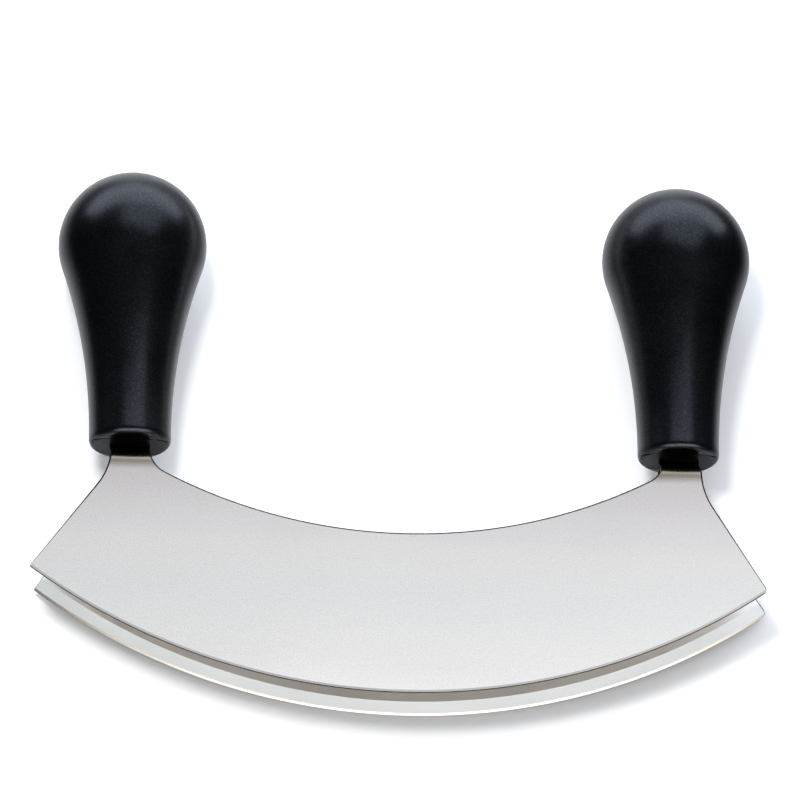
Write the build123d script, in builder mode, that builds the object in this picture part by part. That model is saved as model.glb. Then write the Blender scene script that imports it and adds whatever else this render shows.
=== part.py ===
from build123d import *

from math import asin, atan2, cos, hypot, radians, sin, sqrt, tan
import os

# Double-bladed mezzaluna: two crescent blades, whose joggled tangs meet in two bulb handles.
# It lies on its back, as on a table: it rests on the backs of its two bulbs and on the edge of its
# rear blade. +Z is up, +X runs along the blades and +Y points to the handles.

# Blades, in the plane of the sheet. Heights are taken from the lowest point of the cutting edge.
blade_length = 230.0
tip_height = 37.5
blade_height = 52.8
neck_root_radius = 22.0
spine_root_radius = 3.5
left_tip_radius = 0.5
right_tip_radius = 1.8

# The crescents don't sit quite evenly between their necks: the front one is shifted to the left and the
# rear one as much to the right, and both are slid a little to the left along the curve of their edge.
crescent_shift = 1.0
crescent_slide = 1.6

# The sheet, its joggle and the distance between the two blades, middle to middle.
blade_thickness = 1.5
blade_spacing = 19.9
bend_radius = 3.0
joggle_angle = 57.0

# The grind on the inner side of each edge: a broad bevel, then a narrow honed one. The sheet's outer
# face runs flat down to the edge.
bevel_width = 4.2
hone_width = 0.7
hone_thickness = 0.5
edge_thickness = 0.1

# Tangs, the ends of the sheet that run up into the handles and lie back to back there.
tang_width = 12.5
tang_depth = 42.0
tang_corner_radius = 3.0
tang_gap = 0.06

# Where the handles stand: how far in from the blade's tips, and how high their lower ends are. The
# spine and the side edges run into the necks at these drops below the handles' ends, the left side edge
# higher than the right one by twice the skew.
tip_overhang = 28.7
handle_seat = 83.2
spine_drop = 9.1
side_drop = 12.3
side_skew = 1.3

# Handles: each is a bulb on a waisted stem, round about its own axis.
ball_radius = 23.4
ball_height = 67.9
waist_radius = 12.85
waist_height = 3.0
handle_end_radius = 2.2

# The plug that fills the lower end of each handle and holds the tangs.
plug_width = 23.8
plug_thickness = 12.8
plug_corner_radius = 5.5
plug_cap = 4.0
plug_gap = 0.1
slot_gap = 0.08

# The groove between plug and handle, where the joint shows.
seam_width = 0.4
seam_depth = 0.8

# Two rivets cross each plug, at these shares of the tang's depth.
rivet_radius = 2.0
rivet_gap = 0.04
rivet_recess = 0.3
rivet_shares = (0.34, 0.74)

# How far a cut runs past what it cuts.
overrun = 5.0

# Places that follow from the sizes above.
half_length = blade_length / 2
edge_radius = (half_length**2 + tip_height**2) / (2 * tip_height)
tip_turn = asin(half_length / edge_radius)
slide_turn = crescent_slide / edge_radius
axis_x = half_length - tip_overhang
neck_outer = axis_x + tang_width / 2
neck_inner = axis_x - tang_width / 2
side_end_height = handle_seat - side_drop
spine_rise = handle_seat - spine_drop - blade_height
spine_radius = (neck_inner**2 + spine_rise**2) / (2 * spine_rise)
tang_top = handle_seat + tang_depth
blade_middle = blade_spacing / 2
tang_middle = (blade_thickness + tang_gap) / 2
joggle_top = handle_seat - bend_radius * tan(radians(joggle_angle / 2))
joggle_foot = joggle_top - (blade_middle - tang_middle) / tan(radians(joggle_angle))
rivet_heights = [share * tang_depth for share in rivet_shares]
slot_width = tang_width + 2 * slot_gap
slot_thickness = 2 * (blade_thickness + slot_gap) + tang_gap

# How the knife lies: the table touches both bulbs and the rear blade's edge.
ball_centre = handle_seat + ball_height
outer_face = blade_middle + blade_thickness / 2
tilt = asin(ball_radius / hypot(ball_centre, outer_face)) - atan2(outer_face, ball_centre)
lift = outer_face * cos(tilt)
near_end = -outer_face * sin(tilt)
far_end = ball_centre * cos(tilt) + ball_radius
left_end = -crescent_shift - edge_radius * sin(tip_turn + slide_turn)
right_end = crescent_shift + edge_radius * sin(tip_turn - slide_turn)

# What the grind takes from the inner side of the front blade, as heights and places across.
ground_away = [
    (bevel_width, outer_face - blade_thickness),
    (hone_width, outer_face - hone_thickness),
    (0, outer_face - edge_thickness),
    (-overrun, outer_face - edge_thickness),
    (-overrun, outer_face - blade_thickness - overrun),
    (bevel_width, outer_face - blade_thickness - overrun),
]

# The knife's own planes: tool is its middle plane, seen from the front, and side is midway between its
# two handles.
tool = Plane(
    origin=(-(left_end + right_end) / 2, -(near_end + far_end) / 2, lift),
    x_dir=(1, 0, 0),
    z_dir=(0, -sin(tilt), cos(tilt)),
)
side = Plane(origin=tool.origin, x_dir=tool.y_dir, z_dir=tool.x_dir)

# The right handle's own planes, which meet at the middle of its lower end.
handle_foot = tool.from_local_coords((axis_x, handle_seat, 0))
handle_face = Plane(origin=handle_foot, x_dir=tool.x_dir, z_dir=tool.z_dir)
handle_end = Plane(origin=handle_foot, x_dir=tool.x_dir, z_dir=tool.y_dir)
handle_axis = Axis(handle_foot, tool.y_dir)

os.makedirs("parts", exist_ok=True)


def write(part, name):
    """Names a finished piece and writes its file."""
    part.label = name
    export_step(part, f"parts/{name}.step")


def tip(hand, shift):
    """Where the cutting edge would end in a sharp corner: hand is -1 at the left and 1 at the right."""
    turn = hand * tip_turn - slide_turn
    return (shift + edge_radius * sin(turn), edge_radius * (1 - cos(turn)))


def side_end(hand):
    """Where a side edge would meet the outer side of its neck in a sharp corner."""
    return (hand * neck_outer, side_end_height - hand * side_skew)


def spine_end(hand, shift):
    """Where the spine's curve would meet the inner side of a neck in a sharp corner."""
    across = hand * neck_inner - shift
    return (hand * neck_inner, blade_height + spine_radius - sqrt(spine_radius**2 - across**2))


def blade_sheet(shift):
    """A blade as it stands in front, with its crescent this far to the right: a joggled sheet, cut to the
    crescent's outline, then ground about the centre of its edge."""
    with BuildPart() as sheet:
        with BuildSketch(side):
            with BuildLine():
                FilletPolyline(
                    (-overrun, blade_middle),
                    (joggle_foot, blade_middle),
                    (joggle_top, tang_middle),
                    (tang_top + overrun, tang_middle),
                    radius=bend_radius,
                )
            trace(line_width=blade_thickness)
        extrude(amount=blade_length, both=True)
        with BuildSketch(tool) as crescent:
            with BuildLine():
                ThreePointArc(tip(-1, shift), (shift, 0), tip(1, shift))
                for hand in (-1, 1):
                    FilletPolyline(
                        tip(hand, shift),
                        side_end(hand),
                        (hand * neck_outer, tang_top),
                        (hand * neck_inner, tang_top),
                        spine_end(hand, shift),
                        radius=(neck_root_radius, tang_corner_radius, tang_corner_radius),
                    )
                ThreePointArc(spine_end(-1, shift), (shift, blade_height), spine_end(1, shift))
            make_face()
            for hand in (-1, 1):
                fillet(crescent.vertices().sort_by_distance(spine_end(hand, shift))[0], spine_root_radius)
            fillet(crescent.vertices().sort_by(Axis.X)[0], left_tip_radius)
            fillet(crescent.vertices().sort_by(Axis.X)[-1], right_tip_radius)
            for hand in (-1, 1):
                with Locations([(hand * axis_x, handle_seat + rise) for rise in rivet_heights]):
                    Circle(rivet_radius + rivet_gap, mode=Mode.SUBTRACT)
        extrude(amount=outer_face + overrun, both=True, mode=Mode.INTERSECT)
        with BuildSketch(side.offset(shift)):
            with BuildLine():
                Polyline(*ground_away, close=True)
            make_face()
        edge_centre = tool.from_local_coords((shift, edge_radius, 0))
        revolve(axis=Axis(edge_centre, tool.z_dir), mode=Mode.SUBTRACT)
    return sheet.part


# Front blade: its crescent sits a little to the left.
with BuildPart() as front_blade:
    add(blade_sheet(-crescent_shift))
write(front_blade.part, "front_blade")

# Rear blade: it faces the other way, so that the tangs of the two blades lie back to back.
with BuildPart() as rear_blade:
    mirror(blade_sheet(crescent_shift), about=tool)
write(rear_blade.part, "rear_blade")

# The full form of a handle: a hollow flare that starts at the waist and runs tangent into the bulb.
flare_rise = ball_height - waist_height
flare_radius = (waist_radius**2 + flare_rise**2 - ball_radius**2) / (2 * (ball_radius - waist_radius))
flare_turn = asin(flare_rise / (flare_radius + ball_radius))
bulb_start = (ball_radius * cos(flare_turn), ball_height - ball_radius * sin(flare_turn))

with BuildPart() as handle_form:
    with BuildSketch(handle_face) as half_section:
        with BuildLine():
            Polyline((0, ball_height + ball_radius), (0, 0), (waist_radius, 0))
            Line((waist_radius, 0), (waist_radius, waist_height))
            TangentArc((waist_radius, waist_height), bulb_start, tangent=(0, 1))
            ThreePointArc(bulb_start, (ball_radius, ball_height), (0, ball_height + ball_radius))
        make_face()
        rim = half_section.vertices().group_by(Axis.Y)[0].sort_by(Axis.X)[-1]
        fillet(rim, handle_end_radius)
    revolve(axis=handle_axis)

# Right handle: the form, with a blind pocket for the plug and a fine groove round its mouth.
with BuildPart() as right_handle:
    add(handle_form.part)
    with BuildSketch(handle_end):
        RectangleRounded(plug_width, plug_thickness, plug_corner_radius)
    extrude(amount=tang_depth + plug_cap + plug_gap, mode=Mode.SUBTRACT)
    with BuildSketch(handle_end):
        RectangleRounded(plug_width, plug_thickness, plug_corner_radius)
        offset(amount=seam_width)
    extrude(amount=seam_depth, mode=Mode.SUBTRACT)
write(right_handle.part, "right_handle")

# Right end plug: it fills the pocket, is flush with the handle's rounded end, and has one slot for
# both tangs and two holes for the rivets.
with BuildPart() as right_end_plug:
    with BuildSketch(handle_end):
        RectangleRounded(plug_width, plug_thickness, plug_corner_radius)
        offset(amount=-plug_gap)
    extrude(amount=tang_depth + plug_cap)
    add(handle_form.part, mode=Mode.INTERSECT)
    with BuildSketch(handle_end):
        Rectangle(slot_width, slot_thickness)
    extrude(amount=tang_depth + slot_gap, mode=Mode.SUBTRACT)
    with BuildSketch(handle_face):
        with Locations([(0, rise) for rise in rivet_heights]):
            Circle(rivet_radius + rivet_gap)
    extrude(amount=plug_thickness, both=True, mode=Mode.SUBTRACT)
write(right_end_plug.part, "right_end_plug")

# Right tang rivets: two pins across the plug and both tangs, a little short of the plug's faces.
with BuildPart() as right_tang_rivets:
    with BuildSketch(handle_face):
        with Locations([(0, rise) for rise in rivet_heights]):
            Circle(rivet_radius)
    extrude(amount=plug_thickness / 2 - plug_gap - rivet_recess, both=True)
write(right_tang_rivets.part, "right_tang_rivets")

# The left handle and what it holds are the right-hand ones, mirrored.
with BuildPart() as left_handle:
    mirror(right_handle.part, about=side)
write(left_handle.part, "left_handle")

with BuildPart() as left_end_plug:
    mirror(right_end_plug.part, about=side)
write(left_end_plug.part, "left_end_plug")

with BuildPart() as left_tang_rivets:
    mirror(right_tang_rivets.part, about=side)
write(left_tang_rivets.part, "left_tang_rivets")
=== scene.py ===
"""Double-bladed mezzaluna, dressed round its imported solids: two crescent blades and two bulb handles.

Every length in this file is in millimetres and meets MM where it goes into a mesh, and every place is in the
frame's axes.
"""

import bmesh
import bpy
import logging
import math
from bpy.types import Material, Modifier, Node, NodeSocket, NodeTree, Object
from dataclasses import dataclass, field
from enum import Enum
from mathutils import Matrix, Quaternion, Vector
from mathutils.geometry import delaunay_2d_cdt
from typing import ClassVar


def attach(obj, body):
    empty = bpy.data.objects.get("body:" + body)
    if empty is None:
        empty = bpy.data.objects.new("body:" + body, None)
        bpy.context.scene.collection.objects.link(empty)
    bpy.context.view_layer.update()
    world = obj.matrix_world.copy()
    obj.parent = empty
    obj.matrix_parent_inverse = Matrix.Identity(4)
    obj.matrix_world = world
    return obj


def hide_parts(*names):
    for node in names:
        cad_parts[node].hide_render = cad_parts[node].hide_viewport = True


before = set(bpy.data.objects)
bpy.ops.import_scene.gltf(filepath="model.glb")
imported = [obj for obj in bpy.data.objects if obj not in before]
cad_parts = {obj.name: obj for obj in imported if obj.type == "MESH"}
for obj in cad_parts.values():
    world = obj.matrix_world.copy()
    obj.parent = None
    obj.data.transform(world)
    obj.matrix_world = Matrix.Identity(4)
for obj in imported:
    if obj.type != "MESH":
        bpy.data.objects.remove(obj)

log = logging.getLogger("mezzaluna")

Point = tuple[float, float]
Line = list[Point]
Ring = list[tuple[float, float, float]]
SocketValue = NodeSocket | Vector | int | float | tuple[float, ...]

MM = 0.001
MERGE = 1e-6
CREASE = math.radians(24.0)
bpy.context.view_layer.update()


class Hand(Enum):
    """Which end of the knife a piece is at, as the sign of its X."""

    LEFT = -1
    RIGHT = 1


class Face(Enum):
    """Which side of the knife's middle plane a blade is on, as the sign of its depth."""

    FRONT = 1
    REAR = -1


class Region(Enum):
    """The differently worked regions of a blade, as the material slots of its mesh."""

    SHEET = 0
    BEVEL = 1
    HONE = 2
    # Painted shade: the rounded rim and a thin line along the outer face's edge are painted near-black.
    RIM = 3
    INSIDE = 4


def linear(code: str) -> tuple[float, float, float, float]:
    """Turns an sRGB hex colour to the linear values that shader sockets take.

    Args:
        code: Six hex digits with a leading hash.

    Returns:
        Red, green, blue and an alpha of 1.
    """
    values = []
    for start in (1, 3, 5):
        level = int(code[start:start + 2], 16) / 255
        values.append(level / 12.92 if level <= 0.04045 else ((level + 0.055) / 1.055) ** 2.4)
    return (*values, 1.0)


def add_node(
    tree: NodeTree, kind: str, settings: dict[str, str] | None = None, **inputs: SocketValue
) -> Node:
    """Adds one node with its settings, its socket values and the links that come into it.

    Args:
        tree: The node tree that gets the node.
        kind: The node's type name.
        settings: Properties of the node itself.
        **inputs: Socket names with underscores for spaces, or s0, s1 and so on for a socket's place. A value
            that is an output socket is linked, any other value is set.

    Returns:
        The new node.
    """
    node = tree.nodes.new(kind)
    for name, value in (settings or {}).items():
        setattr(node, name, value)
    for name, value in inputs.items():
        by_place = name[0] == "s" and name[1:].isdigit()
        socket = node.inputs[int(name[1:])] if by_place else node.inputs[name.replace("_", " ")]
        if isinstance(value, NodeSocket):
            tree.links.new(value, socket)
        else:
            socket.default_value = value
    return node


def new_material(name: str) -> tuple[Material, NodeTree]:
    """Makes an empty node material.

    Args:
        name: The material's name.

    Returns:
        The material and its tree.
    """
    material = bpy.data.materials.new(name)
    material.use_nodes = True
    material.node_tree.nodes.clear()
    return material, material.node_tree


@dataclass(frozen=True)
class Steel:
    """Stainless steel in one of the ways it is worked here.

    Rolled and barrel-finished sheet looks silvery and soft, with a fine even speckle of tiny pits and a very
    faint tone that changes slowly from place to place. Where the tones are given by height, they are painted
    shade: the sheet turns from a warm bright tone at its edge to a duller one towards its necks, with a dark
    band at the joggle's bend, where less light falls and reflects.
    """

    name: str
    tones: tuple[str, ...]
    roughness: float
    roughness_swing: float = 0.05
    tone_patch: float = 45.0
    patch_start: float = 0.36
    patch_spread: float = 0.28
    speckle: float = 0.3
    speckle_range: tuple[float, float] = (0.25, 0.75)
    speckle_contrast: float = 0.035
    bump_depth: float = 0.0015
    tone_wander: float = 6.0
    near_y: float = 0.0
    heights: tuple[float, ...] = ()

    def tone(self, tree: NodeTree, place: NodeSocket) -> NodeSocket:
        """The metal's tone, either by patches, or by height as a ramp of painted shade with a little
        wandering.

        Args:
            tree: The material's tree.
            place: The place in the frame's axes.

        Returns:
            The colour's socket.
        """
        patches = add_node(
            tree, "ShaderNodeTexNoise", Vector=place, Scale=1 / (self.tone_patch * MM), Detail=1.0,
            Roughness=0.4,
        ).outputs["Fac"]
        if not self.heights:
            ramp = add_node(tree, "ShaderNodeValToRGB", Fac=patches)
            runs = len(self.tones) - 1
            stops = [self.patch_start + self.patch_spread * step / runs for step in range(runs + 1)]
        else:
            # The ramp by height is painted shade: the sheet darkens towards its necks and the joggle's bend.
            top = self.heights[-1]
            along = add_node(tree, "ShaderNodeSeparateXYZ", Vector=place).outputs["Y"]
            near, far = self.near_y * MM, (self.near_y + top) * MM
            share = add_node(tree, "ShaderNodeMapRange", Value=along, From_Min=near, From_Max=far).outputs[0]
            stray = self.tone_wander / top
            wander = add_node(tree, "ShaderNodeMapRange", Value=patches, To_Min=-stray, To_Max=stray)
            moved = add_node(
                tree, "ShaderNodeMath", {"operation": "ADD"}, s0=share, s1=wander.outputs["Result"]
            ).outputs[0]
            ramp = add_node(tree, "ShaderNodeValToRGB", Fac=moved)
            stops = [height / top for height in self.heights]
        first, last = ramp.color_ramp.elements
        first.position, last.position = stops[0], stops[-1]
        first.color, last.color = linear(self.tones[0]), linear(self.tones[-1])
        for stop, tone in list(zip(stops, self.tones))[1:-1]:
            ramp.color_ramp.elements.new(stop).color = linear(tone)
        return ramp.outputs["Color"]

    def material(self) -> Material:
        """Builds the material.

        Returns:
            The finished material.
        """
        material, tree = new_material(self.name)
        place = add_node(tree, "ShaderNodeTexCoord").outputs["Object"]
        # The real pits are some hundredths of a millimetre, too fine to show, so they are drawn ten times
        # coarser.
        pits = add_node(
            tree, "ShaderNodeTexNoise", Vector=place, Scale=1 / (self.speckle * MM), Detail=3.0,
            Roughness=0.7,
        )
        shade = add_node(
            tree, "ShaderNodeMapRange", Value=pits.outputs["Fac"], From_Min=self.speckle_range[0],
            From_Max=self.speckle_range[1], To_Min=1 - self.speckle_contrast,
            To_Max=1 + self.speckle_contrast,
        )
        colour = add_node(
            tree, "ShaderNodeVectorMath", {"operation": "SCALE"}, Vector=self.tone(tree, place),
            Scale=shade.outputs["Result"],
        )
        dull = add_node(
            tree, "ShaderNodeMapRange", Value=pits.outputs["Fac"], From_Min=self.speckle_range[0],
            From_Max=self.speckle_range[1], To_Min=self.roughness - self.roughness_swing,
            To_Max=self.roughness + self.roughness_swing,
        )
        relief = add_node(tree, "ShaderNodeBump", Height=pits.outputs["Fac"], Distance=self.bump_depth * MM)
        shader = add_node(
            tree, "ShaderNodeBsdfPrincipled", Base_Color=colour.outputs["Vector"], Metallic=1.0,
            Roughness=dull.outputs["Result"], Normal=relief.outputs["Normal"],
        )
        add_node(tree, "ShaderNodeOutputMaterial", Surface=shader.outputs["BSDF"])
        return material


@dataclass(frozen=True)
class MouldedPlastic:
    """Black polypropylene, moulded in a spark-eroded tool.

    The tool leaves a fine even grain, so the black stays deep where it faces the eye, and turns to a soft
    bluish grey sheen where it leans towards the light. The grain's tops show as fine paler specks.
    """

    name: str
    colour: str
    worn_colour: str
    speck_colour: str
    roughness: float
    specular: float
    grain: float = 0.35
    grain_depth: float = 0.012
    grain_contrast: float = 0.4
    ior: float = 1.49
    sheen: str = "#eef3ff"
    handling: float = 14.0
    handling_swing: float = 0.03
    handling_range: tuple[float, float] = (0.3, 0.7)
    grain_range: tuple[float, float] = (0.35, 0.65)
    tone_stops: tuple[float, float, float] = (0.3, 0.6, 0.72)

    def material(self) -> Material:
        """Builds the material.

        Returns:
            The finished material.
        """
        material, tree = new_material(self.name)
        place = add_node(tree, "ShaderNodeTexCoord").outputs["Object"]
        # Spark grain is about 0.05 mm across, too fine to show, so it is drawn seven times coarser.
        grain = add_node(
            tree, "ShaderNodeTexNoise", Vector=place, Scale=1 / (self.grain * MM), Detail=2.0,
            Roughness=0.6,
        )
        handling = add_node(
            tree, "ShaderNodeTexNoise", Vector=place, Scale=1 / (self.handling * MM), Detail=2.0
        )
        dull = add_node(
            tree, "ShaderNodeMapRange", Value=handling.outputs["Fac"], From_Min=self.handling_range[0],
            From_Max=self.handling_range[1], To_Min=self.roughness - self.handling_swing,
            To_Max=self.roughness + self.handling_swing,
        )
        tone = add_node(tree, "ShaderNodeValToRGB", Fac=grain.outputs["Fac"])
        stops = tone.color_ramp.elements
        stops[0].position, stops[1].position, speck_stop = self.tone_stops
        stops[0].color, stops[1].color = linear(self.colour), linear(self.worn_colour)
        stops.new(speck_stop).color = linear(self.speck_colour)
        # The tops of the grain are polished by use and shine more than its pits.
        shine = add_node(
            tree, "ShaderNodeMapRange", Value=grain.outputs["Fac"], From_Min=self.grain_range[0],
            From_Max=self.grain_range[1], To_Min=self.specular * (1 - self.grain_contrast),
            To_Max=self.specular * (1 + self.grain_contrast),
        )
        relief = add_node(
            tree, "ShaderNodeBump", Height=grain.outputs["Fac"], Distance=self.grain_depth * MM
        )
        shader = add_node(
            tree, "ShaderNodeBsdfPrincipled", Base_Color=tone.outputs["Color"],
            Roughness=dull.outputs["Result"], IOR=self.ior, Specular_IOR_Level=shine.outputs["Result"],
            Specular_Tint=linear(self.sheen), Normal=relief.outputs["Normal"],
        )
        add_node(tree, "ShaderNodeOutputMaterial", Surface=shader.outputs["BSDF"])
        return material


@dataclass(frozen=True)
class Lie:
    """How the knife lies: on the backs of its bulbs and on the edge of its rear blade.

    The middle between the handles is a little to the right of the frame's origin, which is under the middle
    of the whole knife.
    """

    ball_centre: float = 151.1
    ball_radius: float = 23.4
    blade_middle: float = 9.95
    blade_thickness: float = 1.5
    handles_middle: float = 1.2924

    @property
    def outer_face(self) -> float:
        """From the knife's middle plane to a blade's outer face."""
        return self.blade_middle + self.blade_thickness / 2

    @property
    def tilt(self) -> float:
        """The angle between the knife's middle plane and the table, in radians."""
        reach = math.hypot(self.ball_centre, self.outer_face)
        return math.asin(self.ball_radius / reach) - math.atan2(self.outer_face, self.ball_centre)

    def place(self, x: float, height: float, depth: float) -> Vector:
        """Turns a point of the knife into the frame.

        Args:
            x: Along the blades, from the middle between the handles.
            height: From the lowest point of the cutting edge towards the handles.
            depth: From the knife's middle plane towards its front.

        Returns:
            The point in the frame, in metres.
        """
        slope, level = math.sin(self.tilt), math.cos(self.tilt)
        near_end = -self.outer_face * slope
        far_end = self.ball_centre * level + self.ball_radius
        y = -(near_end + far_end) / 2 + height * level - depth * slope
        z = self.outer_face * level + height * slope + depth * level
        return Vector((self.handles_middle + x, y, z)) * MM


def arc(centre: Point, radius: float, start: float, end: float, steps: int) -> Line:
    """Points along a circle's arc, both ends included.

    Args:
        centre: The circle's centre.
        radius: Its radius.
        start: The first point's angle, in radians.
        end: The last point's angle.
        steps: How many runs the arc is divided into.

    Returns:
        The points.
    """
    turns = [start + (end - start) * step / steps for step in range(steps + 1)]
    return [(centre[0] + radius * math.cos(turn), centre[1] + radius * math.sin(turn)) for turn in turns]


def rounded_corner(before: Point, corner: Point, after: Point, radius: float, steps: int) -> Line:
    """A corner between two straight runs, rounded off.

    Args:
        before: A point on the run that comes in.
        corner: The sharp corner.
        after: A point on the run that goes out.
        radius: The rounding's radius.
        steps: How many runs the rounding is divided into.

    Returns:
        The rounding's points, in order.
    """
    corner_point = Vector(corner)
    inward = (Vector(before) - corner_point).normalized()
    outward = (Vector(after) - corner_point).normalized()
    half = inward.angle(outward) / 2
    centre = corner_point + (inward + outward).normalized() * (radius / math.sin(half))
    first = corner_point + inward * (radius / math.tan(half)) - centre
    last = corner_point + outward * (radius / math.tan(half)) - centre
    start = math.atan2(first.y, first.x)
    sweep = math.atan2(first.x * last.y - first.y * last.x, first.dot(last))
    return arc(tuple(centre), radius, start, start + sweep, steps)


def new_object(name: str, data: bpy.types.ID) -> Object:
    """Makes an object of some data and links it to the scene.

    Args:
        name: The object's name.
        data: Its mesh, lamp or camera data.

    Returns:
        The object.
    """
    made = bpy.data.objects.new(name, data)
    bpy.context.scene.collection.objects.link(made)
    return made


def mesh_object(name: str, build: bmesh.types.BMesh) -> Object:
    """Turns a finished bmesh into an object at the origin, smooth shaded.

    Args:
        name: The piece's name.
        build: The mesh, which is freed.

    Returns:
        The new object, linked to the scene.
    """
    mesh = bpy.data.meshes.new(name)
    build.to_mesh(mesh)
    build.free()
    mesh.polygons.foreach_set("use_smooth", [True] * len(mesh.polygons))
    return new_object(name, mesh)


def add_bands(build: bmesh.types.BMesh, loops: list[list[bmesh.types.BMVert]], slot: int = 0) -> None:
    """Adds a closed band of faces between each two neighbouring loops of as many points.

    Args:
        build: The mesh.
        loops: The loops, in order.
        slot: The faces' material slot.
    """
    for first, second in zip(loops, loops[1:]):
        for place in range(len(first)):
            after = (place + 1) % len(first)
            made = build.faces.new((first[place], first[after], second[after], second[place]))
            made.material_index = slot


def evaluated_copy(source: Object, name: str) -> Object:
    """A plain mesh of what an object's modifiers make. The source object is removed.

    Args:
        source: The object with live modifiers.
        name: The new piece's name.

    Returns:
        The new object, at the origin, with no modifiers.
    """
    bpy.context.view_layer.update()
    shown = source.evaluated_get(bpy.context.evaluated_depsgraph_get())
    mesh = bpy.data.meshes.new_from_object(shown)
    source.modifiers.clear()
    bpy.data.objects.remove(source)
    mesh.name = name
    return new_object(name, mesh)


@dataclass
class Blade:
    """One blade: a joggled sheet with a crescent outline, ground on the inner side of its edge.

    The tangs of the two blades lie back to back. The front crescent is shifted a little to the left and the
    rear one to the right, and both are slid a little to the left along their edge. The outer face has no
    grind, only a thin line along its edge that is painted near-black as painted shade, and a narrow stoned
    strip beside it. The rounded rim round the sheet is painted near-black the same way.
    """

    face: Face
    lie: Lie
    length: float = 230.0
    tip_height: float = 37.5
    height: float = 52.8
    crescent_shift: float = 1.0
    crescent_slide: float = 1.6
    neck_root_radius: float = 22.0
    # The photograph shows wider roots at the spine's ends than the solids have.
    spine_root_radius: float = 8.0
    tip_radii: dict[Hand, float] = field(default_factory=lambda: {Hand.LEFT: 0.5, Hand.RIGHT: 1.8})
    thickness: float = 1.5
    bend_radius: float = 3.0
    joggle_angle: float = 57.0
    bevel_width: float = 4.2
    hone_width: float = 0.7
    hone_thickness: float = 0.5
    edge_thickness: float = 0.1
    tang_width: float = 12.5
    tang_depth: float = 42.0
    tang_corner_radius: float = 3.0
    tang_gap: float = 0.06
    tip_overhang: float = 28.7
    handle_seat: float = 83.2
    spine_drop: float = 9.1
    side_drop: float = 12.3
    side_skew: float = 1.3
    # The width of the line along the outer face's edge that is painted near-black as painted shade.
    painted_shade_line_width: float = 0.28
    stoned_width: float = 1.0
    rim_radius: float = 0.55
    rim_share: float = 0.4
    rim_steps: int = 4
    bend_steps: int = 20
    edge_steps: int = 400
    spine_steps: int = 200
    root_steps: int = 60
    corner_steps: int = 10
    crease_steps: int = 600
    row_steps: int = 6
    row_margin: float = 0.6
    root_margin: float = 0.01
    inset: float = 0.03
    mitre_least: float = 0.5
    flat_merge: float = 1e-6
    vertex_merge: float = 5e-7
    shortest_edge: float = 1e-7

    @property
    def name(self) -> str:
        """The piece's name, which is also its CAD node's."""
        return f"{self.face.name.lower()}_blade"

    @property
    def half_length(self) -> float:
        """From the knife's middle to a tip."""
        return self.length / 2

    @property
    def edge_radius(self) -> float:
        """The radius of the cutting edge's curve."""
        return (self.half_length**2 + self.tip_height**2) / (2 * self.tip_height)

    @property
    def axis_x(self) -> float:
        """From the knife's middle to a handle's axis."""
        return self.half_length - self.tip_overhang

    @property
    def middle_x(self) -> float:
        """Where the crescent's own middle is, from the middle between the handles."""
        return -self.face.value * self.crescent_shift

    @property
    def slide_turn(self) -> float:
        """How far the crescent is slid along its edge, as an angle about the edge's centre."""
        return self.crescent_slide / self.edge_radius

    def tip(self, hand: Hand) -> Vector:
        """Where the cutting edge would end in a sharp corner.

        Args:
            hand: Which tip.

        Returns:
            The corner, along the blade and in height.
        """
        turn = hand.value * math.asin(self.half_length / self.edge_radius) - self.slide_turn
        rise = self.edge_radius * (1 - math.cos(turn))
        return Vector((self.middle_x + self.edge_radius * math.sin(turn), rise))

    def side_end(self, hand: Hand) -> Vector:
        """Where a side edge would meet the outer side of its neck in a sharp corner.

        Args:
            hand: Which side.

        Returns:
            The corner, along the blade and in height.
        """
        outer = self.axis_x + self.tang_width / 2
        drop = self.side_drop + hand.value * self.side_skew
        return Vector((hand.value * outer, self.handle_seat - drop))

    def inland(self, x: float, height: float) -> float:
        """How far a place is from the cutting edge's curve."""
        return self.edge_radius - math.hypot(x - self.middle_x, height - self.edge_radius)

    @property
    def joggle(self) -> Line:
        """The joggle's line in the middle of the sheet.

        Returns:
            The heights and depths of its two bends' sharp corners, the lower one first.
        """
        middle = self.lie.blade_middle
        inner = (self.thickness + self.tang_gap) / 2
        turn = math.radians(self.joggle_angle)
        top = self.handle_seat - self.bend_radius * math.tan(turn / 2)
        foot = top - (middle - inner) / math.tan(turn)
        return [(foot, middle), (top, inner)]

    def skin_line(self, out: int) -> Line:
        """The line of one of the sheet's two faces through the joggle.

        Args:
            out: 1 for the face away from the knife's middle plane, -1 for the other.

        Returns:
            Heights and depths, from the blade up to the tang.
        """
        (foot, middle), (top, inner) = self.joggle
        turn = math.radians(self.joggle_angle)
        reach = self.bend_radius * math.tan(turn / 2)
        half = out * self.thickness / 2
        lower_centre = (foot - reach, middle - self.bend_radius)
        upper_centre = (top + reach, inner + self.bend_radius)
        shares = [step / self.bend_steps for step in range(self.bend_steps + 1)]
        line = []
        for (height, depth), way in ((lower_centre, 1), (upper_centre, -1)):
            spread = way * self.bend_radius + half
            for share in shares:
                lean = turn * (share if way > 0 else 1 - share)
                line.append((height + spread * math.sin(lean), depth + spread * math.cos(lean)))
        return line

    def thickness_at(self, x: float, height: float) -> float:
        """The sheet's thickness at a place, as the grind leaves it.

        Args:
            x: Along the blade.
            height: Above the lowest point of the edge.

        Returns:
            The thickness.
        """
        inland = self.inland(x, height)
        edge, hone, full = self.edge_thickness, self.hone_thickness, self.thickness
        if inland <= 0:
            return edge
        if inland < self.hone_width:
            return edge + (hone - edge) * inland / self.hone_width
        if inland < self.bevel_width:
            return hone + (full - hone) * (inland - self.hone_width) / (self.bevel_width - self.hone_width)
        return full

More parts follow.
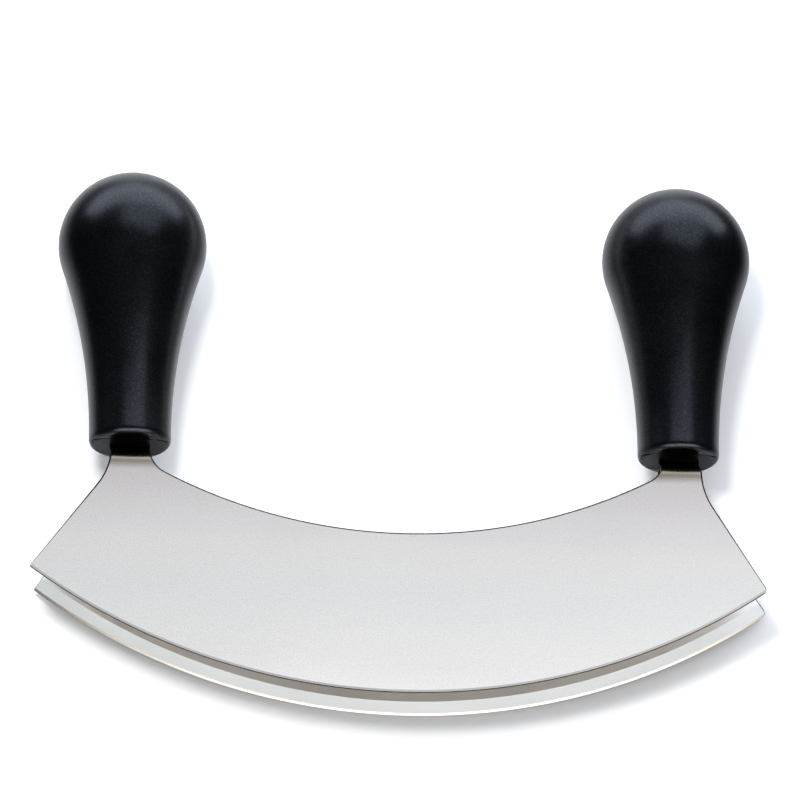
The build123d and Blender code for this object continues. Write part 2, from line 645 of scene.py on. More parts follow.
    def depth(self, x: float, height: float, out: int, line: Line) -> float:
        """How far a face of the sheet is from the knife's middle plane.

        Args:
            x: Along the blade.
            height: Above the lowest point of the edge.
            out: 1 for the outer face, -1 for the inner one.
            line: The face's line through the joggle.

        Returns:
            The depth, always positive here.
        """
        if height <= line[0][0]:
            return self.lie.outer_face - (self.thickness_at(x, height) if out < 0 else 0)
        for (low, low_depth), (high, high_depth) in zip(line, line[1:]):
            if height <= high:
                share = (height - low) / (high - low)
                return low_depth + (high_depth - low_depth) * share
        return line[-1][1]

    def outline(self) -> Line:
        """The sheet's outline, once round anticlockwise, with close points where the sheet bends.

        Returns:
            The outline's points.
        """
        seat = self.handle_seat
        outer = self.axis_x + self.tang_width / 2
        inner = self.axis_x - self.tang_width / 2
        top = seat + self.tang_depth
        centre = (self.middle_x, self.edge_radius)
        spine_rise = seat - self.spine_drop - self.height
        spine_radius = (inner**2 + spine_rise**2) / (2 * spine_rise)
        spine_centre = (self.middle_x, self.height + spine_radius)
        rows = sorted({row for out in (-1, 1) for row, _ in self.skin_line(out)})
        sides, spine_starts = {}, {}
        for hand in Hand:
            sign = hand.value
            # The root between spine and neck: its centre is its radius away from both, inside the notch.
            root_x = inner - self.spine_root_radius
            across = root_x - sign * self.middle_x
            reach = spine_radius - self.spine_root_radius
            root_height = spine_centre[1] - math.sqrt(reach**2 - across**2)
            spine_starts[hand] = math.atan2(across, spine_centre[1] - root_height)
            root = rounded_corner(
                tuple(self.tip(hand)), tuple(self.side_end(hand)), (sign * outer, top),
                self.neck_root_radius, self.root_steps,
            )
            climb = [(sign * outer, row) for row in rows if row > root[-1][1]]
            corners = [(sign * outer, seat), (sign * outer, top), (sign * inner, top), (sign * inner, seat)]
            ends = []
            for turn in (0, 1):
                three = corners[turn:turn + 3]
                ends += rounded_corner(*three, self.tang_corner_radius, self.corner_steps)
            fall = [(sign * inner, row) for row in reversed(rows) if row > root_height + self.root_margin]
            lean = spine_starts[hand] - math.pi / 2
            bend = arc((root_x, root_height), self.spine_root_radius, 0, lean, self.root_steps)
            sides[hand] = self.rounded_tip(hand) + root + climb + ends + fall
            sides[hand] += [(sign * x, height) for x, height in bend]
        first_tip, last_tip = sides[Hand.LEFT][0], sides[Hand.RIGHT][0]
        start = math.atan2(first_tip[1] - centre[1], first_tip[0] - centre[0])
        end = math.atan2(last_tip[1] - centre[1], last_tip[0] - centre[0])
        edge = arc(centre, self.edge_radius, start, end, self.edge_steps)[1:-1]
        spine = arc(
            spine_centre, spine_radius, spine_starts[Hand.RIGHT] - math.pi / 2,
            -spine_starts[Hand.LEFT] - math.pi / 2, self.spine_steps,
        )[1:-1]
        return edge + sides[Hand.RIGHT] + spine + list(reversed(sides[Hand.LEFT]))

    def rounded_tip(self, hand: Hand) -> Line:
        """The rounding between the cutting edge and a side edge, from the edge's end upwards.

        Args:
            hand: Which tip.

        Returns:
            The rounding's points.
        """
        radius = self.tip_radii[hand]
        corner = self.tip(hand)
        centre = Vector((self.middle_x, self.edge_radius))
        along = (self.side_end(hand) - corner).normalized()
        across = Vector((-along.y, along.x)) * hand.value
        # The rounding's centre is its radius away from the side line and from the edge's circle.
        ring = self.edge_radius - radius
        base = corner + across * radius - centre
        reach = base.dot(along)
        root = math.sqrt(reach**2 - base.length_squared + ring**2)
        move = min((-reach - root, -reach + root), key=abs)
        middle = centre + base + along * move
        spoke = middle - centre
        start = math.atan2(spoke.y, spoke.x)
        end = math.atan2(-across.y, -across.x)
        sweep = (end - start + math.pi) % math.tau - math.pi
        return arc(tuple(middle), radius, start, start + sweep, self.corner_steps)

    def rings(self) -> list[Ring]:
        """The outline and its copies moved inwards, as the rounded rim needs them.

        Returns:
            One closed ring of points for each step of the rounding, outermost first.
        """
        outline = self.outline()
        count = len(outline)
        rings = [[] for _ in range(self.rim_steps + 1)]
        for place, point in enumerate(outline):
            before = Vector(outline[place - 1])
            after = Vector(outline[(place + 1) % count])
            here = Vector(point)
            first = (here - before).normalized()
            second = (after - here).normalized()
            bisector = Vector((-(first.y + second.y), first.x + second.x)).normalized()
            stretch = 1 / max(bisector.dot(Vector((-first.y, first.x))), self.mitre_least)
            radius = min(self.rim_radius, self.rim_share * self.thickness_at(*point))
            for step in range(self.rim_steps + 1):
                lean = math.pi / 2 * step / self.rim_steps
                moved = here + bisector * (stretch * radius * (1 - math.cos(lean)))
                drop = radius * (1 - math.sin(lean))
                rings[step].append((moved.x, moved.y, drop))
        return rings

    def guide_lines(self, inner: list[Vector], out: int) -> list[list[Vector]]:
        """The lines on a face that its mesh has to follow: the grind's creases and the joggle's bends.

        Args:
            inner: The face's own closed boundary.
            out: 1 for the outer face, with its line of painted shade and stoned strip, -1 for the ground
                inner one.

        Returns:
            Open lines of points, all inside the boundary.
        """
        line = self.skin_line(out)
        lines = []
        ground = (self.hone_width, (self.hone_width + self.bevel_width) / 2, self.bevel_width)
        for inland in ground if out < 0 else (self.painted_shade_line_width, self.stoned_width):
            radius = self.edge_radius - inland
            lean = math.asin(self.half_length / self.edge_radius) + self.slide_turn
            centre = (self.middle_x, self.edge_radius)
            points = arc(centre, radius, -math.pi / 2 - lean, -math.pi / 2 + lean, self.crease_steps)
            lines.append([Vector(point) for point in points if self.is_inside(Vector(point), inner)])
        low_row, high_row = line[0][0] - self.row_margin, line[-1][0] + self.row_margin
        rows = [low_row] + [row for row, _ in line] + [high_row]
        for row in rows:
            for hand in Hand:
                crossings = sorted(self.crossings(row, inner, hand))
                if len(crossings) >= 2:
                    low, high = crossings[0] + self.inset, crossings[-1] - self.inset
                    steps = self.row_steps
                    run = [Vector((low + (high - low) * step / steps, row)) for step in range(steps + 1)]
                    lines.append(run)
        return lines

    def crossings(self, row: float, ring: list[Vector], hand: Hand) -> list[float]:
        """Where a row crosses the boundary on one hand of the knife.

        Args:
            row: The row's height.
            ring: The boundary.
            hand: Which hand.

        Returns:
            The crossings, along the blade, in no order.
        """
        found = []
        for place, here in enumerate(ring):
            there = ring[(place + 1) % len(ring)]
            if (here.y - row) * (there.y - row) < 0 and here.x * hand.value > 0:
                found.append(here.x + (there.x - here.x) * (row - here.y) / (there.y - here.y))
        return found

    def is_inside(self, point: Vector, ring: list[Vector]) -> bool:
        """Whether a point near the cutting edge is inside the side edges, by at least the inset.

        Args:
            point: The point.
            ring: The face's boundary.

        Returns:
            True if it is.
        """
        crossings = self.crossings(point.y, ring, Hand.RIGHT if point.x > 0 else Hand.LEFT)
        if not crossings:
            return False
        return abs(point.x) < max(abs(crossing) for crossing in crossings) - self.inset

    def region(self, x: float, height: float, out: int) -> Region:
        """Which way a place on a face of the sheet is worked.

        Args:
            x: Along the blade.
            height: Above the lowest point of the edge.
            out: 1 for the outer face, -1 for the inner one.

        Returns:
            The region.
        """
        inland = self.inland(x, height)
        # The thin strip along the outer face's edge is painted near-black with the rim, as painted shade.
        if out > 0 and inland < self.painted_shade_line_width:
            return Region.RIM
        if inland < (self.stoned_width if out > 0 else self.hone_width):
            return Region.HONE
        if out > 0:
            return Region.SHEET
        return Region.BEVEL if inland < self.bevel_width else Region.INSIDE

    def add_face(self, build: bmesh.types.BMesh, ring: Ring, out: int) -> None:
        """Adds one face of the sheet to the mesh, with sharp creases where the grind starts.

        Args:
            build: The blade's mesh.
            ring: The face's boundary.
            out: 1 for the outer face, -1 for the inner one.
        """
        line = self.skin_line(out)
        inner = [Vector((x, height)) for x, height, _ in ring]
        points = list(inner)
        edges = [(place, (place + 1) % len(inner)) for place in range(len(inner))]
        for run in self.guide_lines(inner, out):
            start = len(points)
            points += run
            edges += [(start + step, start + step + 1) for step in range(len(run) - 1)]
        flat, _, faces, _, _, _ = delaunay_2d_cdt(points, edges, [], 1, self.flat_merge)
        depths = [self.depth(point.x, point.y, out, line) for point in flat]
        verts = [
            build.verts.new(self.lie.place(point.x, point.y, self.face.value * depth))
            for point, depth in zip(flat, depths)
        ]
        for corners in faces:
            middle = sum((flat[corner] for corner in corners), Vector((0, 0))) / len(corners)
            made = build.faces.new([verts[corner] for corner in corners])
            made.material_index = self.region(middle.x, middle.y, out).value

    def add_rim(self, build: bmesh.types.BMesh, rings: list[Ring]) -> None:
        """Adds the rounded rim between the sheet's two faces.

        Args:
            build: The blade's mesh.
            rings: The outline's rings, outermost first.
        """
        loops = []
        for out, order in ((1, reversed(rings)), (-1, rings)):
            line = self.skin_line(out)
            for ring in order:
                loop = []
                for x, height, drop in ring:
                    depth = self.depth(x, height, out, line) - out * drop
                    loop.append(build.verts.new(self.lie.place(x, height, self.face.value * depth)))
                loops.append(loop)
        add_bands(build, loops, Region.RIM.value)

    def mesh(self) -> Object:
        """Builds the blade's closed mesh.

        Returns:
            The blade's object.
        """
        build = bmesh.new()
        rings = self.rings()
        for out in (1, -1):
            self.add_face(build, rings[-1], out)
        self.add_rim(build, rings)
        bmesh.ops.remove_doubles(build, verts=build.verts, dist=self.vertex_merge)
        bmesh.ops.dissolve_degenerate(build, edges=build.edges, dist=self.shortest_edge)
        bmesh.ops.recalc_face_normals(build, faces=build.faces)
        for edge in build.edges:
            regions = {linked.material_index for linked in edge.link_faces}
            if len(regions) > 1:
                edge.smooth = False
        return mesh_object(self.name, build)

    def dress(self, piece: Object, finishes: dict[Region, Material]) -> None:
        """Gives each worked region its finish.

        Args:
            piece: The blade's object.
            finishes: A material for each region.
        """
        for region in Region:
            piece.data.materials.append(finishes[region])

    def build(self, finishes: dict[Region, Material]) -> Object:
        """Makes the blade and puts it in its CAD node's stead.

        Args:
            finishes: A material for each region.

        Returns:
            The finished piece.
        """
        piece = self.mesh()
        self.dress(piece, finishes)
        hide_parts(self.name)
        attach(piece, "root")
        return piece


@dataclass
class GripPiece:
    """A piece that each grip has one of, about the grip's own axis."""

    hand: Hand
    lie: Lie
    kind: ClassVar[str] = ""
    axis_x: float = 86.3
    seat: float = 83.2

    @property
    def name(self) -> str:
        """The piece's name, which is also its CAD node's."""
        return f"{self.hand.name.lower()}_{self.kind}"

    def place(self, across: float, rise: float, depth: float) -> Vector:
        """Turns a point of the grip's own axes into the frame."""
        return self.lie.place(self.hand.value * self.axis_x + across, self.seat + rise, depth)


@dataclass
class Handle(GripPiece):
    """One bulb handle: a turned form with a pocket in its lower end, where the plug goes in."""

    kind: ClassVar[str] = "handle"
    ball_radius: float = 23.4
    ball_height: float = 67.9
    waist_radius: float = 12.85
    waist_height: float = 3.0
    end_radius: float = 2.2
    plug_width: float = 23.8
    plug_thickness: float = 12.8
    plug_corner_radius: float = 5.5
    pocket_depth: float = 46.1
    seam_width: float = 0.4
    seam_depth: float = 0.8
    turns: int = 180
    end_steps: int = 14
    flare_steps: int = 44
    ball_steps: int = 64
    corner_steps: int = 12
    cut_overrun: float = 3.0

    def profile(self) -> Line:
        """Half the handle's section, from the middle of its lower end up to the top of its bulb.

        Returns:
            Radii and heights over the lower end.
        """
        rise = self.ball_height - self.waist_height
        span = self.ball_radius - self.waist_radius
        flare = (self.waist_radius**2 + rise**2 - self.ball_radius**2) / (2 * span)
        turn = math.asin(rise / (flare + self.ball_radius))
        flare_centre = (self.waist_radius + flare, self.waist_height)
        ball_centre = (0, self.ball_height)
        end_centre = (self.waist_radius - self.end_radius, self.end_radius)
        points = [(0, 0), (end_centre[0] / 2, 0)]
        points += arc(end_centre, self.end_radius, -math.pi / 2, 0, self.end_steps)
        points += arc(flare_centre, flare, math.pi, math.pi - turn, self.flare_steps)
        points += arc(ball_centre, self.ball_radius, -turn, math.pi / 2, self.ball_steps)[1:]
        return points

    def oblong(self, grow: float) -> Line:
        """The plug's outline, grown by some amount, once round.

        Args:
            grow: How much it is grown on every side.

        Returns:
            Points across and in depth.
        """
        half_width = self.plug_width / 2 + grow
        half_thickness = self.plug_thickness / 2 + grow
        radius = self.plug_corner_radius + grow
        points = []
        for quarter, (x_sign, depth_sign) in enumerate(((1, 1), (-1, 1), (-1, -1), (1, -1))):
            centre = (x_sign * (half_width - radius), depth_sign * (half_thickness - radius))
            start = quarter * math.pi / 2
            points += arc(centre, radius, start, start + math.pi / 2, self.corner_steps)
        return points

    def cutter(self) -> Object:
        """The pocket with its groove, as a solid to cut away.

        Returns:
            The cutter's object.
        """
        build = bmesh.new()
        groove = [(rise, self.seam_width) for rise in (-self.cut_overrun, self.seam_depth)]
        pocket = [(rise, 0.0) for rise in (self.seam_depth, self.pocket_depth)]
        loops = []
        for rise, grow in groove + pocket:
            places = [self.place(across, rise, depth) for across, depth in self.oblong(grow)]
            loops.append([build.verts.new(place) for place in places])
        add_bands(build, loops)
        build.faces.new(loops[0])
        build.faces.new(loops[-1])
        bmesh.ops.recalc_face_normals(build, faces=build.faces)
        return mesh_object(f"{self.name}_pocket", build)

    def mesh(self, turning: NodeTree, finish: Material) -> Object:
        """Turns the profile into a solid and cuts the pocket.

        Args:
            turning: The node tree that turns a profile about an axis.
            finish: The handle's plastic.

        Returns:
            The handle's object.
        """
        build = bmesh.new()
        verts = [build.verts.new(self.place(radius, rise, 0)) for radius, rise in self.profile()]
        for first, second in zip(verts, verts[1:]):
            build.edges.new((first, second))
        blank = mesh_object(f"{self.name}_profile", build)
        lathe = blank.modifiers.new("turning", "NODES")
        lathe.node_group = turning
        foot = self.place(0, 0, 0)
        axis = (self.place(0, 1, 0) - foot).normalized()
        set_inputs(lathe, Turns=self.turns, Axis_Foot=foot, Axis_Direction=axis, Material=finish)
        turned = evaluated_copy(blank, f"{self.name}_turned")
        cutter = self.cutter()
        cut = turned.modifiers.new("pocket", "BOOLEAN")
        cut.operation = "DIFFERENCE"
        cut.solver = "EXACT"
        cut.object = cutter
        piece = evaluated_copy(turned, self.name)
        bpy.data.objects.remove(cutter)
        return piece

    def build(self, turning: NodeTree, finish: Material) -> Object:
        """Makes the handle and puts it in its CAD node's stead.

        Args:
            turning: The node tree that turns a profile about an axis.
            finish: The handle's plastic.

        Returns:
            The finished piece.
        """
        piece = self.mesh(turning, finish)
        mark_creases(piece)
        piece.data.materials.clear()
        piece.data.materials.append(finish)
        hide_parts(self.name)
        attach(piece, "root")
        return piece


@dataclass
class TangRivets(GripPiece):
    """The two pins that cross one plug and both tangs in it."""

    kind: ClassVar[str] = "tang_rivets"
    tang_depth: float = 42.0
    shares: tuple[float, float] = (0.34, 0.74)
    radius: float = 2.0
    length: float = 12.0
    chamfer: float = 0.3
    sides: int = 48

    def build(self, pins: NodeTree, finish: Material) -> Object:
        """Makes the pins and puts them in their CAD node's stead.

        Args:
            pins: The node tree that puts a pin on each point.
            finish: The pins' steel.

        Returns:
            The finished piece.
        """
        build = bmesh.new()
        for share in self.shares:
            build.verts.new(self.place(0, share * self.tang_depth, 0))
        points = mesh_object(f"{self.name}_places", build)
        row = points.modifiers.new("pins", "NODES")
        row.node_group = pins
        across = self.lie.place(0, 0, 1) - self.lie.place(0, 0, 0)
        radius, length, chamfer = self.radius * MM, self.length * MM, self.chamfer * MM
        set_inputs(row, Radius=radius, Length=length, Chamfer=chamfer, Sides=self.sides)
        set_inputs(row, Direction=across.normalized(), Material=finish)
        piece = evaluated_copy(points, self.name)
        mark_creases(piece)
        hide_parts(self.name)
        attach(piece, "root")
        return piece


@dataclass
class EndPlug(GripPiece):
    """The insert that fills a handle's pocket. Its solid is kept."""

    kind: ClassVar[str] = "end_plug"

    def dress(self, finish: Material) -> None:
        """Gives the solid its finish.

        Args:
            finish: The plug's plastic.
        """
        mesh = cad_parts[self.name].data
        mesh.materials.clear()
        mesh.materials.append(finish)
        log.info("%s keeps its solid and is dressed", self.name)


def set_inputs(modifier: Modifier, **values: int | float | Vector | Material) -> None:
    """Sets inputs of a Geometry Nodes modifier, each by its socket's identifier.

    Args:
        modifier: The modifier.
        **values: The sockets' names, with underscores for spaces, and their values.
    """
    for item in modifier.node_group.interface.items_tree:
        name = item.name.replace(" ", "_")
        if item.item_type == "SOCKET" and item.in_out == "INPUT" and name in values:
            modifier[item.identifier] = values[name]


def mark_creases(piece: Object) -> None:
    """Shades a piece smooth, apart from the edges that turn by more than the crease angle.

    Args:
        piece: The piece.
    """
    build = bmesh.new()
    build.from_mesh(piece.data)
    bmesh.ops.remove_doubles(build, verts=build.verts, dist=MERGE)
    bmesh.ops.recalc_face_normals(build, faces=build.faces)
    for face in build.faces:
        face.smooth = True
    for edge in build.edges:
        if len(edge.link_faces) == 2:
            edge.smooth = edge.calc_face_angle() < CREASE
    build.to_mesh(piece.data)
    build.free()


def node_group(name: str, **inputs: str) -> tuple[NodeTree, bpy.types.bpy_prop_collection]:
    """Starts a Geometry Nodes tree with its geometry in and out and its named inputs.

    Args:
        name: The tree's name.
        **inputs: Socket names with underscores for spaces, and the kind of each.

    Returns:
        The tree, and what comes in.
    """
    tree = bpy.data.node_groups.new(name, "GeometryNodeTree")
    for socket, kind in {"Geometry": "Geometry", **inputs}.items():
        tree.interface.new_socket(
            name=socket.replace("_", " "), in_out="INPUT", socket_type=f"NodeSocket{kind}"
        )
    tree.interface.new_socket(name="Geometry", in_out="OUTPUT", socket_type="NodeSocketGeometry")
    return tree, add_node(tree, "NodeGroupInput").outputs


def finish_group(tree: NodeTree, made: NodeSocket, finish: NodeSocket) -> None:
    """Ends a tree: its instances become real and get their material.

    Args:
        tree: The tree.
        made: What the tree has made.
        finish: The material.
    """
    real = add_node(tree, "GeometryNodeRealizeInstances", Geometry=made).outputs[0]
    dressed = add_node(tree, "GeometryNodeSetMaterial", Geometry=real, Material=finish).outputs[0]
    add_node(tree, "NodeGroupOutput", Geometry=dressed)


def turning_tree() -> NodeTree:
    """The tree that turns a profile about an axis, as a lathe does.

    Its geometry comes in as a line of points. Each row of a grid is moved to the line and turned by its
    share of a full turn, and the doubled points on the axis and where the grid closes are merged.

    Returns:
        The node tree, with named inputs.
    """
    tree, given = node_group(
        "turned_form", Turns="Int", Axis_Foot="Vector", Axis_Direction="Vector", Material="Material"
    )
    line_size = add_node(
        tree, "GeometryNodeAttributeDomainSize", {"component": "MESH"}, Geometry=given["Geometry"]
    )
    rows = line_size.outputs["Point Count"]
    columns = add_node(tree, "ShaderNodeMath", {"operation": "ADD"}, s0=given["Turns"], s1=1.0).outputs[0]
    grid = add_node(tree, "GeometryNodeMeshGrid", Vertices_X=columns, Vertices_Y=rows)
    index = add_node(tree, "GeometryNodeInputIndex").outputs[0]
    row, step = (
        add_node(tree, "FunctionNodeIntegerMath", {"operation": name}, s0=index, s1=rows).outputs[0]
        for name in ("MODULO", "DIVIDE_FLOOR")
    )
    position = add_node(tree, "GeometryNodeInputPosition").outputs[0]
    sampled = add_node(
        tree, "GeometryNodeSampleIndex", {"data_type": "FLOAT_VECTOR", "domain": "POINT"},
        Geometry=given["Geometry"], Value=position, Index=row,
    )
    share = add_node(tree, "ShaderNodeMath", {"operation": "DIVIDE"}, s0=step, s1=given["Turns"]).outputs[0]
    angle = add_node(tree, "ShaderNodeMath", {"operation": "MULTIPLY"}, s0=share, s1=math.tau).outputs[0]
    turned = add_node(
        tree, "ShaderNodeVectorRotate", {"rotation_type": "AXIS_ANGLE"}, Vector=sampled.outputs[0],
        Center=given["Axis Foot"], Axis=given["Axis Direction"], Angle=angle,
    )
    moved = add_node(
        tree, "GeometryNodeSetPosition", Geometry=grid.outputs["Mesh"], Position=turned.outputs[0]
    )
    closed = add_node(tree, "GeometryNodeMergeByDistance", Geometry=moved.outputs[0], Distance=MERGE)
    finish_group(tree, closed.outputs[0], given["Material"])
    return tree


def pins_tree() -> NodeTree:
    """The tree that puts one round pin on each point of its geometry.

    A pin is a cylinder with its two ends chamfered, instanced on the points and turned to their direction.

    Returns:
        The node tree, with named inputs.
    """
    tree, given = node_group(
        "row_of_pins", Radius="Float", Length="Float", Chamfer="Float", Sides="Int", Direction="Vector",
        Material="Material",
    )
    radius, chamfer = given["Radius"], given["Chamfer"]
    take, times, over = ({"operation": name} for name in ("SUBTRACT", "MULTIPLY", "DIVIDE"))
    taper = add_node(tree, "ShaderNodeMath", times, s0=chamfer, s1=2.0).outputs[0]
    straight = add_node(tree, "ShaderNodeMath", take, s0=given["Length"], s1=taper).outputs[0]
    end_radius = add_node(tree, "ShaderNodeMath", take, s0=radius, s1=chamfer).outputs[0]
    half_straight = add_node(tree, "ShaderNodeMath", over, s0=straight, s1=2.0).outputs[0]
    shank = add_node(
        tree, "GeometryNodeMeshCylinder", {"fill_type": "NONE"}, Vertices=given["Sides"], Radius=radius,
        Depth=straight,
    )
    ends = []
    for way in (1.0, -1.0):
        cone = add_node(
            tree, "GeometryNodeMeshCone", Vertices=given["Sides"], Radius_Top=end_radius,
            Radius_Bottom=radius, Depth=chamfer,
        )
        open_end = add_node(
            tree, "GeometryNodeDeleteGeometry", {"domain": "FACE"}, Geometry=cone.outputs["Mesh"],
            Selection=cone.outputs["Bottom"],
        )
        rise = add_node(tree, "ShaderNodeMath", times, s0=half_straight, s1=way).outputs[0]
        place = add_node(tree, "ShaderNodeCombineXYZ", Z=rise).outputs[0]
        upright = (0.0, 0.0, 0.0) if way > 0 else (math.pi, 0.0, 0.0)
        moved = add_node(
            tree, "GeometryNodeTransform", Geometry=open_end.outputs[0], Translation=place,
            Rotation=upright,
        )
        ends.append(moved.outputs[0])
    whole = add_node(tree, "GeometryNodeJoinGeometry")
    for part in (shank.outputs["Mesh"], *ends):
        tree.links.new(part, whole.inputs[0])
    pin = add_node(tree, "GeometryNodeMergeByDistance", Geometry=whole.outputs[0], Distance=MERGE)
    turn = add_node(tree, "FunctionNodeAlignRotationToVector", {"axis": "Z"}, Vector=given["Direction"])
    row = add_node(
        tree, "GeometryNodeInstanceOnPoints", Points=given["Geometry"], Instance=pin.outputs[0],
        Rotation=turn.outputs[0],
    )
    finish_group(tree, row.outputs[0], given["Material"])
    return tree


SKY_TINT = (0.9, 0.98, 1.1)


@dataclass(frozen=True)
class Lamp:
    """One square-cornered soft lamp that looks at the middle of the knife."""

    name: str
    come_from: tuple[float, float, float]
    distance: float
    width: float
    height: float
    power: float
    colour: tuple[float, float, float] = (1.0, 1.0, 1.0)
    in_reflections: bool = True
    on_matt: bool = True

    def build(self) -> None:
        """Makes the lamp."""
        data = bpy.data.lights.new(self.name, "AREA")
        data.shape = "RECTANGLE"
        data.size = self.width * MM
        data.size_y = self.height * MM
        data.energy = self.power
        data.color = self.colour
        lamp = new_object(self.name, data)
        direction = Vector(self.come_from).normalized()
        lamp.location = direction * self.distance * MM
        lamp.rotation_euler = (-direction).to_track_quat("-Z", "Y").to_euler()
        lamp.visible_glossy = self.in_reflections
        lamp.visible_diffuse = self.on_matt


@dataclass
class Studio:
    """A pale table in a plain room, with a small lamp for the shadow and broad soft ones for the sheen.

    The table is white to the eye. In reflections it is pale under the handles and dark away from them, as in
    a narrow studio whose sides are black.
    """

    floor_half: float = 4000.0
    floor_white: str = "#f0f0f1"
    floor_glow: float = 0.17
    mirrored_middle: float = 86.0
    mirrored_half: tuple[float, float] = (30.0, 85.0)
    mirrored_least: float = 0.2
    mirrored_dim: str = "#101112"
    room: str = "#e6eaf4"
    room_strength: float = 0.02
    lamps: tuple[Lamp, ...] = (
        Lamp("shadow_lamp", (-0.26, 0.09, 1.0), 1400.0, 300.0, 300.0, 11.5, in_reflections=False),
        Lamp("fill_lamp", (0.0, -0.2, 1.0), 1500.0, 2600.0, 2600.0, 13.0, in_reflections=False),
        Lamp("overhead_softbox", (0.15, 0.45, 0.89), 1500.0, 1500.0, 1150.0, 7.8, SKY_TINT),
        Lamp("back_softbox", (0.0, 0.92, 0.39), 1600.0, 4400.0, 1100.0, 41.0, SKY_TINT),
        Lamp("front_card", (0.1, -0.87, 0.5), 1500.0, 2400.0, 1100.0, 33.0, on_matt=False),
    )

    def build(self) -> None:
        """Makes the table, the room and the lamps."""
        self.table()
        self.world()
        for lamp in self.lamps:
            lamp.build()

    def table(self) -> None:
        """Makes the table, which looks white where no shadow falls and mirrors dark at its sides."""
        build = bmesh.new()
        bmesh.ops.create_grid(build, x_segments=1, y_segments=1, size=self.floor_half * MM)
        floor = mesh_object("table", build)
        material, tree = new_material("white_laminate_table")
        seen = add_node(tree, "ShaderNodeLightPath").outputs
        matt = add_node(tree, "ShaderNodeBsdfDiffuse", Color=linear(self.floor_white)).outputs[0]
        white = (1.0, 1.0, 1.0, 1.0)
        glow = add_node(tree, "ShaderNodeEmission", Color=white, Strength=self.floor_glow).outputs[0]
        bright = add_node(tree, "ShaderNodeAddShader", s0=matt, s1=glow).outputs[0]
        place = add_node(tree, "ShaderNodeTexCoord").outputs["Object"]
        sideways = add_node(tree, "ShaderNodeSeparateXYZ", Vector=place).outputs["X"]
        outwards = add_node(tree, "ShaderNodeMath", {"operation": "ABSOLUTE"}, s0=sideways).outputs[0]
        beside = add_node(
            tree, "ShaderNodeMath", {"operation": "SUBTRACT"}, s0=outwards, s1=self.mirrored_middle * MM
        ).outputs[0]
        distance = add_node(tree, "ShaderNodeMath", {"operation": "ABSOLUTE"}, s0=beside).outputs[0]
        darkness = add_node(
            tree, "ShaderNodeMapRange", Value=distance, From_Min=self.mirrored_half[0] * MM,
            From_Max=self.mirrored_half[1] * MM, To_Min=self.mirrored_least,
        ).outputs["Result"]
        dim = add_node(tree, "ShaderNodeBsdfDiffuse", Color=linear(self.mirrored_dim)).outputs[0]
        mirrored = add_node(tree, "ShaderNodeMixShader", s0=darkness, s1=bright, s2=dim).outputs[0]
        shown = seen["Is Camera Ray"]
        direct = add_node(tree, "ShaderNodeMixShader", s0=shown, s1=matt, s2=bright).outputs[0]
        mixed = add_node(tree, "ShaderNodeMixShader", s0=seen["Is Glossy Ray"], s1=direct, s2=mirrored)
        add_node(tree, "ShaderNodeOutputMaterial", Surface=mixed.outputs[0])
        floor.data.materials.append(material)

    def world(self) -> None:
        """Makes the room, an even pale light from all round."""
        world = bpy.data.worlds.new("pale_room")
        bpy.context.scene.world = world
        world.use_nodes = True
        tree = world.node_tree
        tree.nodes.clear()
        light = add_node(tree, "ShaderNodeBackground", Color=linear(self.room), Strength=self.room_strength)
        add_node(tree, "ShaderNodeOutputWorld", Surface=light.outputs[0])


@dataclass
class PhotoCamera:
    """The camera that sees the knife as the photograph does."""

    place: tuple[float, float, float] = (-169.62, -1065.1, 2173.05)
    target: tuple[float, float, float] = (-1.293, 7.704, 32.784)
    roll: float = 9.591
    lens: float = 345.56
    sensor: float = 36.0
    clip_end: float = 100.0

    def build(self) -> None:
        """Makes the camera and gives it to the scene."""
        data = bpy.data.cameras.new("photo_camera")
        data.lens = self.lens
        data.sensor_width = self.sensor
        data.clip_end = self.clip_end
        camera = new_object("photo_camera", data)
        camera.location = Vector(self.place) * MM
        look = (Vector(self.target) - Vector(self.place)).to_track_quat("-Z", "Y")
        turn = Quaternion((0, 0, 1), math.radians(self.roll))
        camera.rotation_mode = "QUATERNION"
        camera.rotation_quaternion = look @ turn
        bpy.context.scene.camera = camera


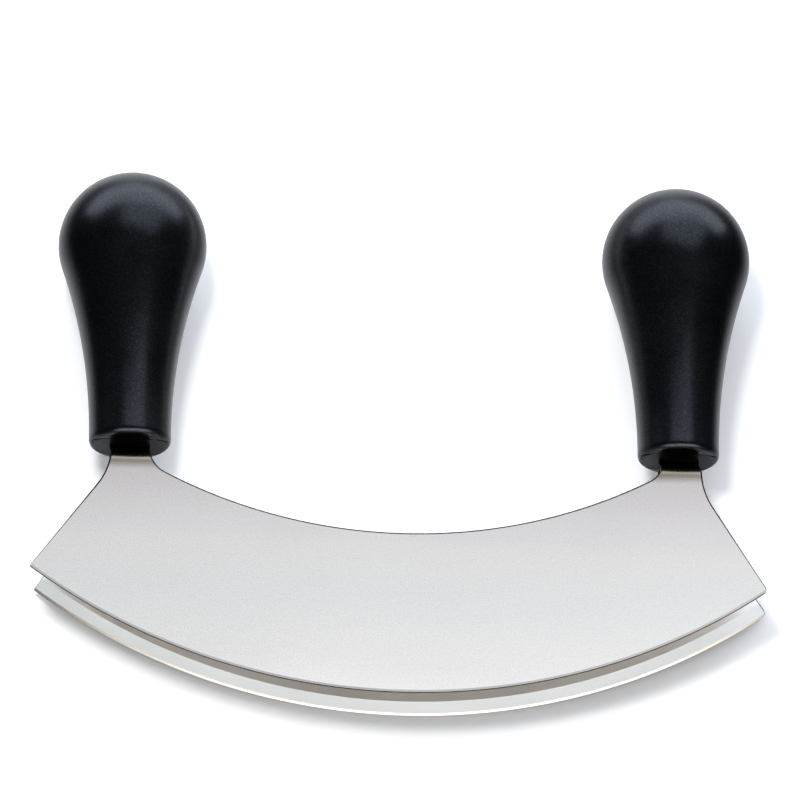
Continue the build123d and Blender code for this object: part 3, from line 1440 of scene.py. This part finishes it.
def report(piece: Object) -> None:
    """Logs a finished piece."""
    log.info("%s: %d faces", piece.name, len(piece.data.polygons))


def main() -> None:
    """Builds the studio and the knife, and reports each piece."""
    logging.basicConfig(level=logging.INFO, format="%(name)s: %(message)s")
    scene = bpy.context.scene
    scene.view_settings.view_transform = "Standard"
    PhotoCamera().build()
    Studio().build()
    lie = Lie()
    # The sheet's tones by height are painted shade, darkest in the band at the joggle's bend under the
    # handles.
    sheet = Steel(
        "satin_stainless_sheet",
        ("#ede4da", "#e6dcd2", "#d6d2c8", "#d4cbc2", "#cec6be", "#cac1b9", "#bbb2ab", "#7d7364", "#4c463c"),
        0.27, near_y=lie.place(0, 0, 0).y / MM,
        heights=(0.0, 8.0, 30.0, 47.0, 52.0, 58.0, 71.0, 73.5, 78.0),
    )
    finishes = {
        Region.SHEET: sheet.material(),
        Region.INSIDE: Steel("satin_stainless_inside", ("#ece8e2", "#eeeae4", "#f0ede8"), 0.36).material(),
        Region.BEVEL: Steel("ground_stainless_bevel", ("#ebedec", "#edefee", "#eff1f0"), 0.66).material(),
        Region.HONE: Steel("honed_stainless_edge", ("#bab2a8", "#beb6ac", "#c2bab0"), 0.3).material(),
        # The rim and the outer face's edge line are painted near-black: painted shade.
        Region.RIM: Steel("blanked_stainless_rim", ("#211f1d", "#1d1b1a", "#272422"), 0.45).material(),
    }
    grips = MouldedPlastic("grained_black_polypropylene", "#010203", "#030405", "#1e2126", 0.3, 0.43)
    plugs = MouldedPlastic("smooth_black_polyamide", "#010203", "#040506", "#0c0d0e", 0.45, 0.3)
    black, black_plug = grips.material(), plugs.material()
    rivet_steel = Steel("drawn_stainless_pin", ("#b8b8b6", "#bcbcba", "#c0bfbc"), 0.3).material()
    for face in Face:
        report(Blade(face, lie).build(finishes))
    turning = turning_tree()
    pins = pins_tree()
    for hand in Hand:
        report(Handle(hand, lie).build(turning, black))
        report(TangRivets(hand, lie).build(pins, rivet_steel))
        EndPlug(hand, lie).dress(black_plug)


if __name__ == "__main__":
    main()
